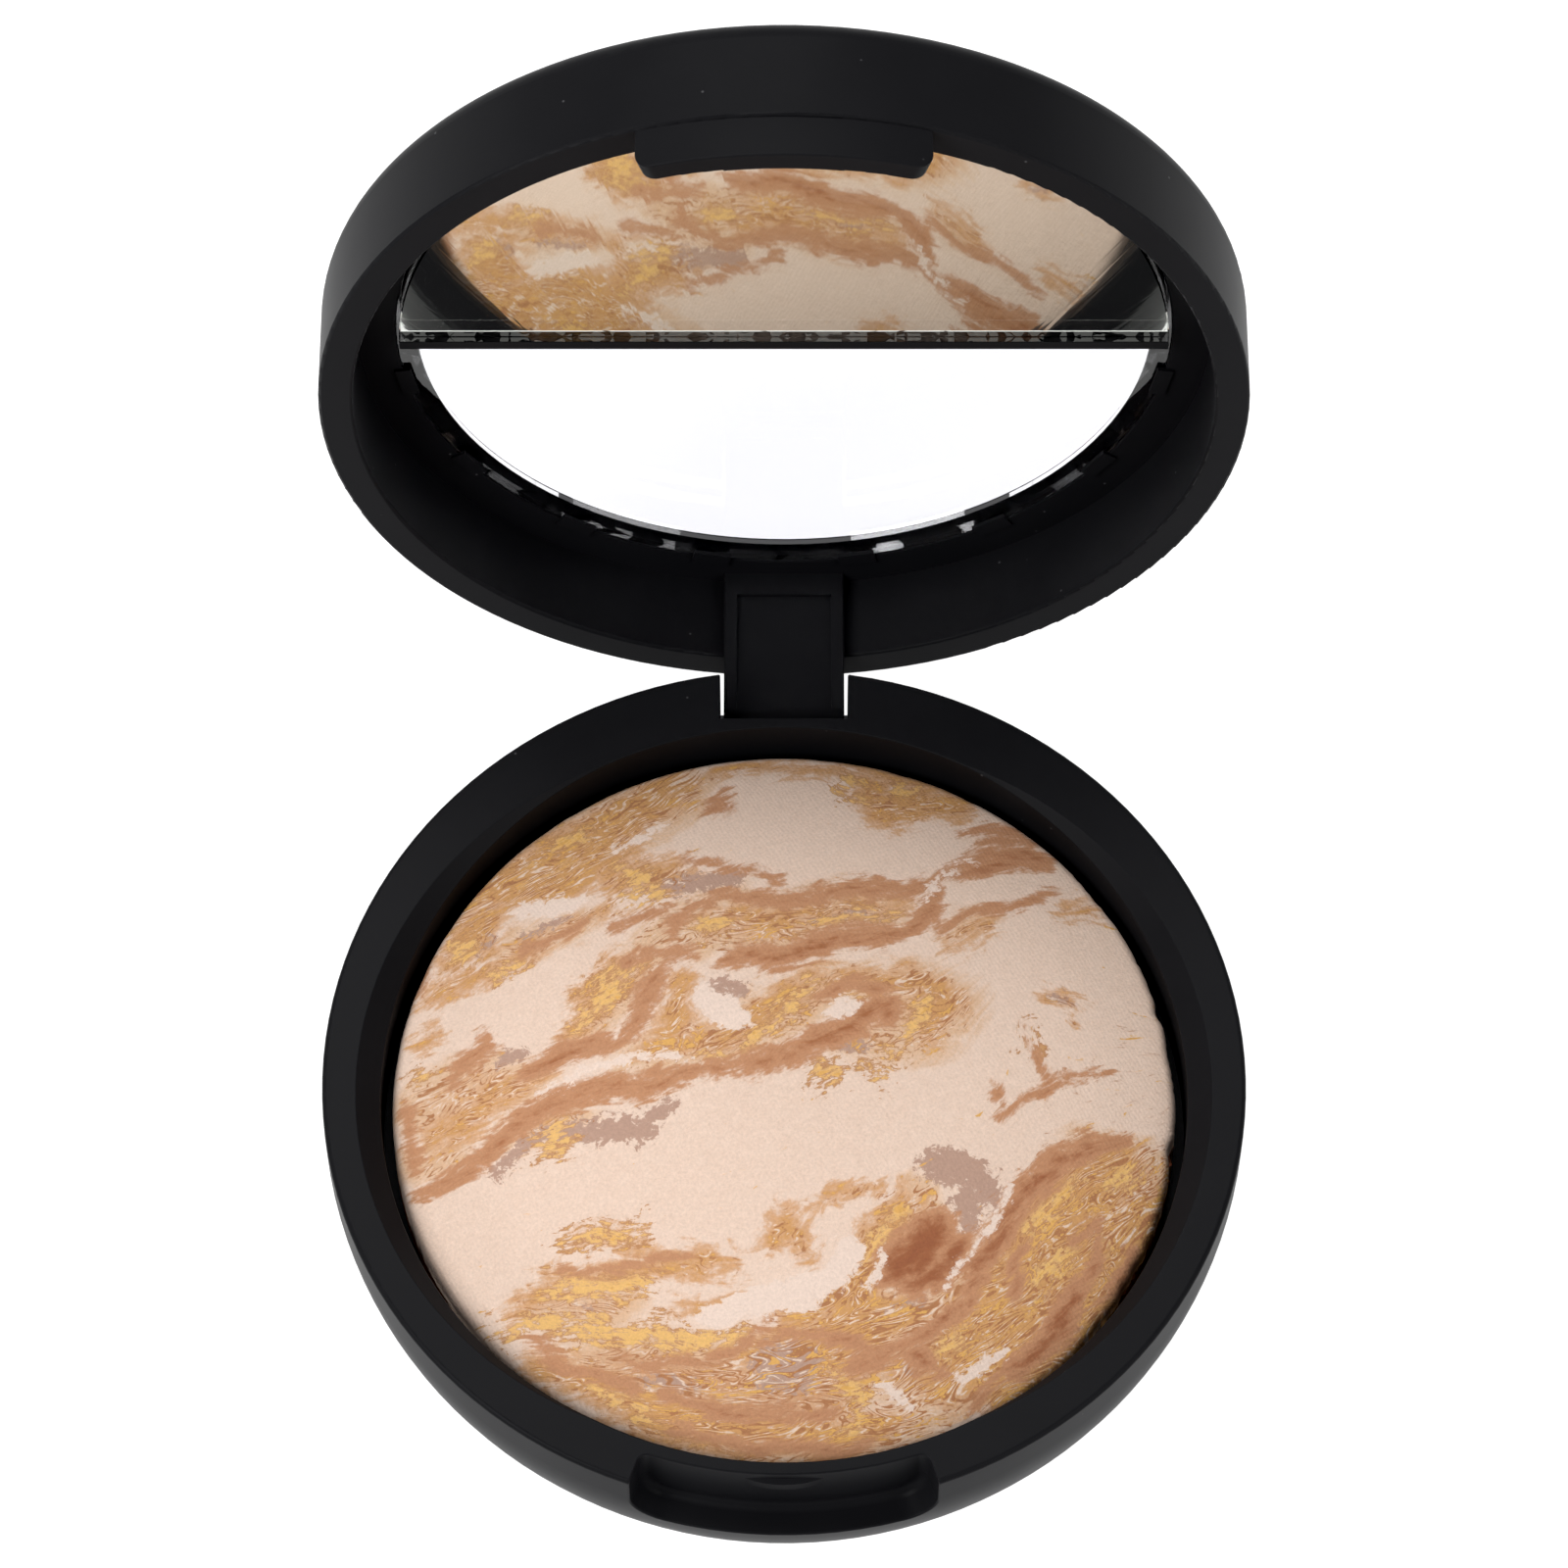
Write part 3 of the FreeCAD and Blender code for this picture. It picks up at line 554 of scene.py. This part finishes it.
    # Cloth print: two sets of threads that cross, worked loose and wavy as the cloth was.
    drift = add(tree, "ShaderNodeTexNoise", {"Vector": place, "Scale": 0.12, "Detail": 1.0}).outputs["Color"]
    slack = add(tree, "ShaderNodeVectorMath", {0: drift, 1: (1.5, 1.5, 0), 2: place},
                operation="MULTIPLY_ADD").outputs[0]
    turns = 2 * math.pi / CLOTH_PITCH_MM
    threads = add(tree, "ShaderNodeMapping", {
        "Vector": slack, "Rotation": (0, 0, math.radians(CLOTH_TURN_DEG)),
        "Scale": (turns, turns, turns)}).outputs[0]
    waves = add(tree, "ShaderNodeVectorMath", {0: threads}, operation="SINE").outputs[0]
    axes = add(tree, "ShaderNodeSeparateXYZ", {"Vector": waves})
    weave = add(tree, "ShaderNodeMath", {0: axes.outputs["X"], 1: axes.outputs["Y"]},
                operation="MULTIPLY").outputs[0]

    # Strokes left where the cake's right side was smoothed over the rim.
    combed = add(tree, "ShaderNodeMapping", {
        "Vector": slack, "Rotation": (0, 0, math.radians(-58)), "Scale": (0.22, 1.5, 1)}).outputs[0]
    strokes = add(tree, "ShaderNodeTexNoise", {
        "Vector": combed, "Scale": 1.0, "Detail": 3.0, "Roughness": 0.6}).outputs["Fac"]
    strokes = add(tree, "ShaderNodeMath", {0: strokes, 1: field("scrape")}, operation="MULTIPLY").outputs[0]
    relief = total(grain, (weave, 0.16), (strokes, 2.4))

    bump = add(tree, "ShaderNodeBump", {"Height": relief, "Strength": 0.6, "Distance": 0.09 * MM})
    shader = add(tree, "ShaderNodeBsdfPrincipled", {
        "Base Color": tone, "Roughness": 0.8, "Normal": bump.outputs[0], "Specular IOR Level": 0.3,
        "Sheen Weight": 0.06, "Sheen Roughness": 0.5})
    finish_material(tree, shader)
    return material


POWDER_RINGS = 168
POWDER_STEPS = 520
SEAT_RINGS = 8            # rings of the hollow underside, which sits on the domed tile
SHOULDER_MM = 0.7
SWELL_MM = 0.1


def rim_loss_mm(angle):
    """How far the cake's rim has crumbled away at an angle from +X. It is worst at the right."""
    chips = noise.fractal(Vector((math.cos(angle) * 11, math.sin(angle) * 11, 3.7)), 0.8, 2.1, 6)
    worn = max(0.0, math.cos((angle - math.radians(-4)) * 0.9)) ** 2 if -1.8 < angle < 1.7 else 0.0
    return 0.05 + 0.28 * worn * max(0.0, chips + 0.3) + 0.08 * max(0.0, chips)


def dome_drop_mm(r, radius, rise):
    """How far a spherical dome of this radius and rise has dropped at a distance r from its middle."""
    sphere = (radius ** 2 + rise ** 2) / (2 * rise)
    return sphere - math.sqrt(sphere ** 2 - r ** 2)


def powder_cake(material):
    """Domed cake on its tile, with low swells, a soft shoulder and a rim that has crumbled at the right."""
    low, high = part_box("baked_powder")
    radius = (high.x - low.x) / 2 / MM
    top, foot_z = high.z / MM, low.z / MM
    tile_low, tile_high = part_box("terracotta_tile")
    tile_radius, tile_top = (tile_high.x - tile_low.x) / 2 / MM, tile_high.z / MM
    rings = []
    bm = bmesh.new()
    for i in range(1, POWDER_RINGS + 1):
        share = (i / POWDER_RINGS) ** 0.85
        ring = []
        for j in range(POWDER_STEPS):
            angle = 2 * math.pi * (j + 0.5) / POWDER_STEPS - math.pi
            reach = radius - rim_loss_mm(angle)
            r = reach * share
            x, y = r * math.cos(angle), r * math.sin(angle)
            into_shoulder = max(0.0, (r - (reach - SHOULDER_MM)) / SHOULDER_MM)
            z = top - dome_drop_mm(r, radius, top - BAKED_EDGE_Z_MM)
            z -= SHOULDER_MM * (1 - math.sqrt(max(0.0, 1 - into_shoulder ** 2)))
            z -= SWELL_MM * (0.5 + 0.5 * noise.noise(Vector((x, y, 0)) * 0.09))
            ring.append(bm.verts.new((x * MM, (y + POWDER_Y_MM) * MM, z * MM)))
        rings.append(ring)
    rim = rings[-1]
    angles = [math.atan2(v.co.y / MM - POWDER_Y_MM, v.co.x / MM) for v in rim]
    rings.append([bm.verts.new((v.co.x, v.co.y, foot_z * MM)) for v in rim])
    for i in range(SEAT_RINGS, 0, -1):
        r = tile_radius * i / SEAT_RINGS
        z = tile_top - dome_drop_mm(r, tile_radius, tile_top - foot_z)
        rings.append([bm.verts.new((r * math.cos(a) * MM, (r * math.sin(a) + POWDER_Y_MM) * MM, z * MM))
                      for a in angles])
    crown = bm.verts.new((0, POWDER_Y_MM * MM, (top - SWELL_MM / 2) * MM))
    base = bm.verts.new((0, POWDER_Y_MM * MM, tile_top * MM))
    for j in range(POWDER_STEPS):
        k = (j + 1) % POWDER_STEPS
        bm.faces.new((crown, rings[0][j], rings[0][k]))
        bm.faces.new((base, rings[-1][k], rings[-1][j]))
        for inner, outer in zip(rings, rings[1:]):
            bm.faces.new((inner[j], outer[j], outer[k], inner[k]))
    for face in bm.faces:
        face.smooth = True
    mesh = bpy.data.meshes.new("powder_cake")
    bm.to_mesh(mesh)
    bm.free()
    brush_marbling(mesh, radius)
    cake = mesh_object("powder_cake", mesh, material)
    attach(cake, "base")
    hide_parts("baked_powder")


# ---------------------------------------------------------------- mirror

GLASS_ARRIS_MM = 0.1
ARRIS_NICKS = 140         # the straight edge was ground by hand, so its arrises waver
ARRIS_WAVER_MM = 0.015
NICK_GRAIN_MM = 0.35
GLASS_STRAIGHT_MM = 50.0  # only the straight edge has runs this long


def silvered_glass(glass, silver):
    """Half-round glass with ground arrises. Its back face carries the silver, so the image lies behind it."""
    out = Vector((0, 1, 0))
    bm = bmesh.new()
    bm.from_mesh(NODES["mirror_glass"].data)
    bmesh.ops.remove_doubles(bm, verts=bm.verts, dist=1e-7)
    bmesh.ops.dissolve_limit(bm, angle_limit=math.radians(0.5), verts=bm.verts, edges=bm.edges)
    bm.normal_update()
    sharp = [e for e in bm.edges if len(e.link_faces) == 2 and e.calc_face_angle(0) > math.radians(40)]
    bmesh.ops.bevel(bm, geom=sharp, offset=GLASS_ARRIS_MM * MM, segments=1, affect="EDGES", profile=0.5)
    straight = [e for e in bm.edges if abs(e.verts[0].co.x - e.verts[1].co.x) > GLASS_STRAIGHT_MM * MM]
    nicks = bmesh.ops.subdivide_edges(bm, edges=straight, cuts=ARRIS_NICKS)["geom_inner"]
    for vert in (item for item in nicks if isinstance(item, bmesh.types.BMVert)):
        vert.co.z += ARRIS_WAVER_MM * MM * noise.noise(vert.co / (NICK_GRAIN_MM * MM))
    bm.normal_update()
    back = max(bm.faces, key=lambda f: f.calc_area() if f.normal.dot(out) > 0 else 0)
    back.material_index = 1
    bmesh.ops.triangulate(bm, faces=bm.faces)
    mesh = bpy.data.meshes.new("half_mirror")
    bm.to_mesh(mesh)
    bm.free()
    piece = mesh_object("half_mirror", mesh, glass, silver)
    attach(piece, "lid")
    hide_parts("mirror_glass", "mirror_silver")


# ---------------------------------------------------------------- window

WINDOW_AIR_MM = 0.02      # film of air between the window and the mirror's tray
CREASE = math.radians(30)


def window_pane(material):
    """Moulded window, a hair clear of the tray behind it, so that the two faces don't lie in one plane."""
    bm = bmesh.new()
    bm.from_mesh(NODES["lid_window"].data)
    bmesh.ops.remove_doubles(bm, verts=bm.verts, dist=1e-7)
    inner = min(v.co.dot(LID_OUT) for v in bm.verts)
    for vert in bm.verts:
        if vert.co.dot(LID_OUT) - inner < WINDOW_AIR_MM * MM:
            vert.co += WINDOW_AIR_MM * MM * LID_OUT
    for face in bm.faces:
        face.smooth = True
    for edge in bm.edges:
        edge.smooth = edge.calc_face_angle(0) < CREASE
    mesh = bpy.data.meshes.new("window_pane")
    bm.to_mesh(mesh)
    bm.free()
    pane = mesh_object("window_pane", mesh, material)
    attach(pane, "lid")
    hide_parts("lid_window")


# ---------------------------------------------------------------- the object

add_camera()
add_floor()
add_studio()

abs_black = satin_abs()
for node_name in ("base_shell", "bottom_plate", "lid_frame", "mirror_tray"):
    dress(node_name, abs_black)
dress("bottom_label", plain_finish("matt_paper_label", "#d9d8d4", 0.7, grain_mm=0.2))
dress("hinge_pin", plain_finish("drawn_steel_wire", "#b9babd", 0.3, metallic=1.0, grain_mm=0.15))
dress("tile_glue", plain_finish("dried_glue", "#e4dfcf", 0.5, grain_mm=1.5))
dress("terracotta_tile",
      plain_finish("unglazed_terracotta", "#b0694a", 0.9, grain_mm=0.35, grain_depth_mm=0.05))
dress("mirror_tape", plain_finish("foam_tape", "#2a2a2a", 0.9, grain_mm=0.25))

powder_cake(marbled_powder())
silvered_glass(float_glass(), silvering())
window_pane(clear_styrene())

bpy.context.scene.view_settings.view_transform = "Standard"
bpy.context.scene.view_settings.use_curve_mapping = True
bpy.context.scene.view_settings.curve_mapping.black_level = (BLACK_POINT, BLACK_POINT, BLACK_POINT)
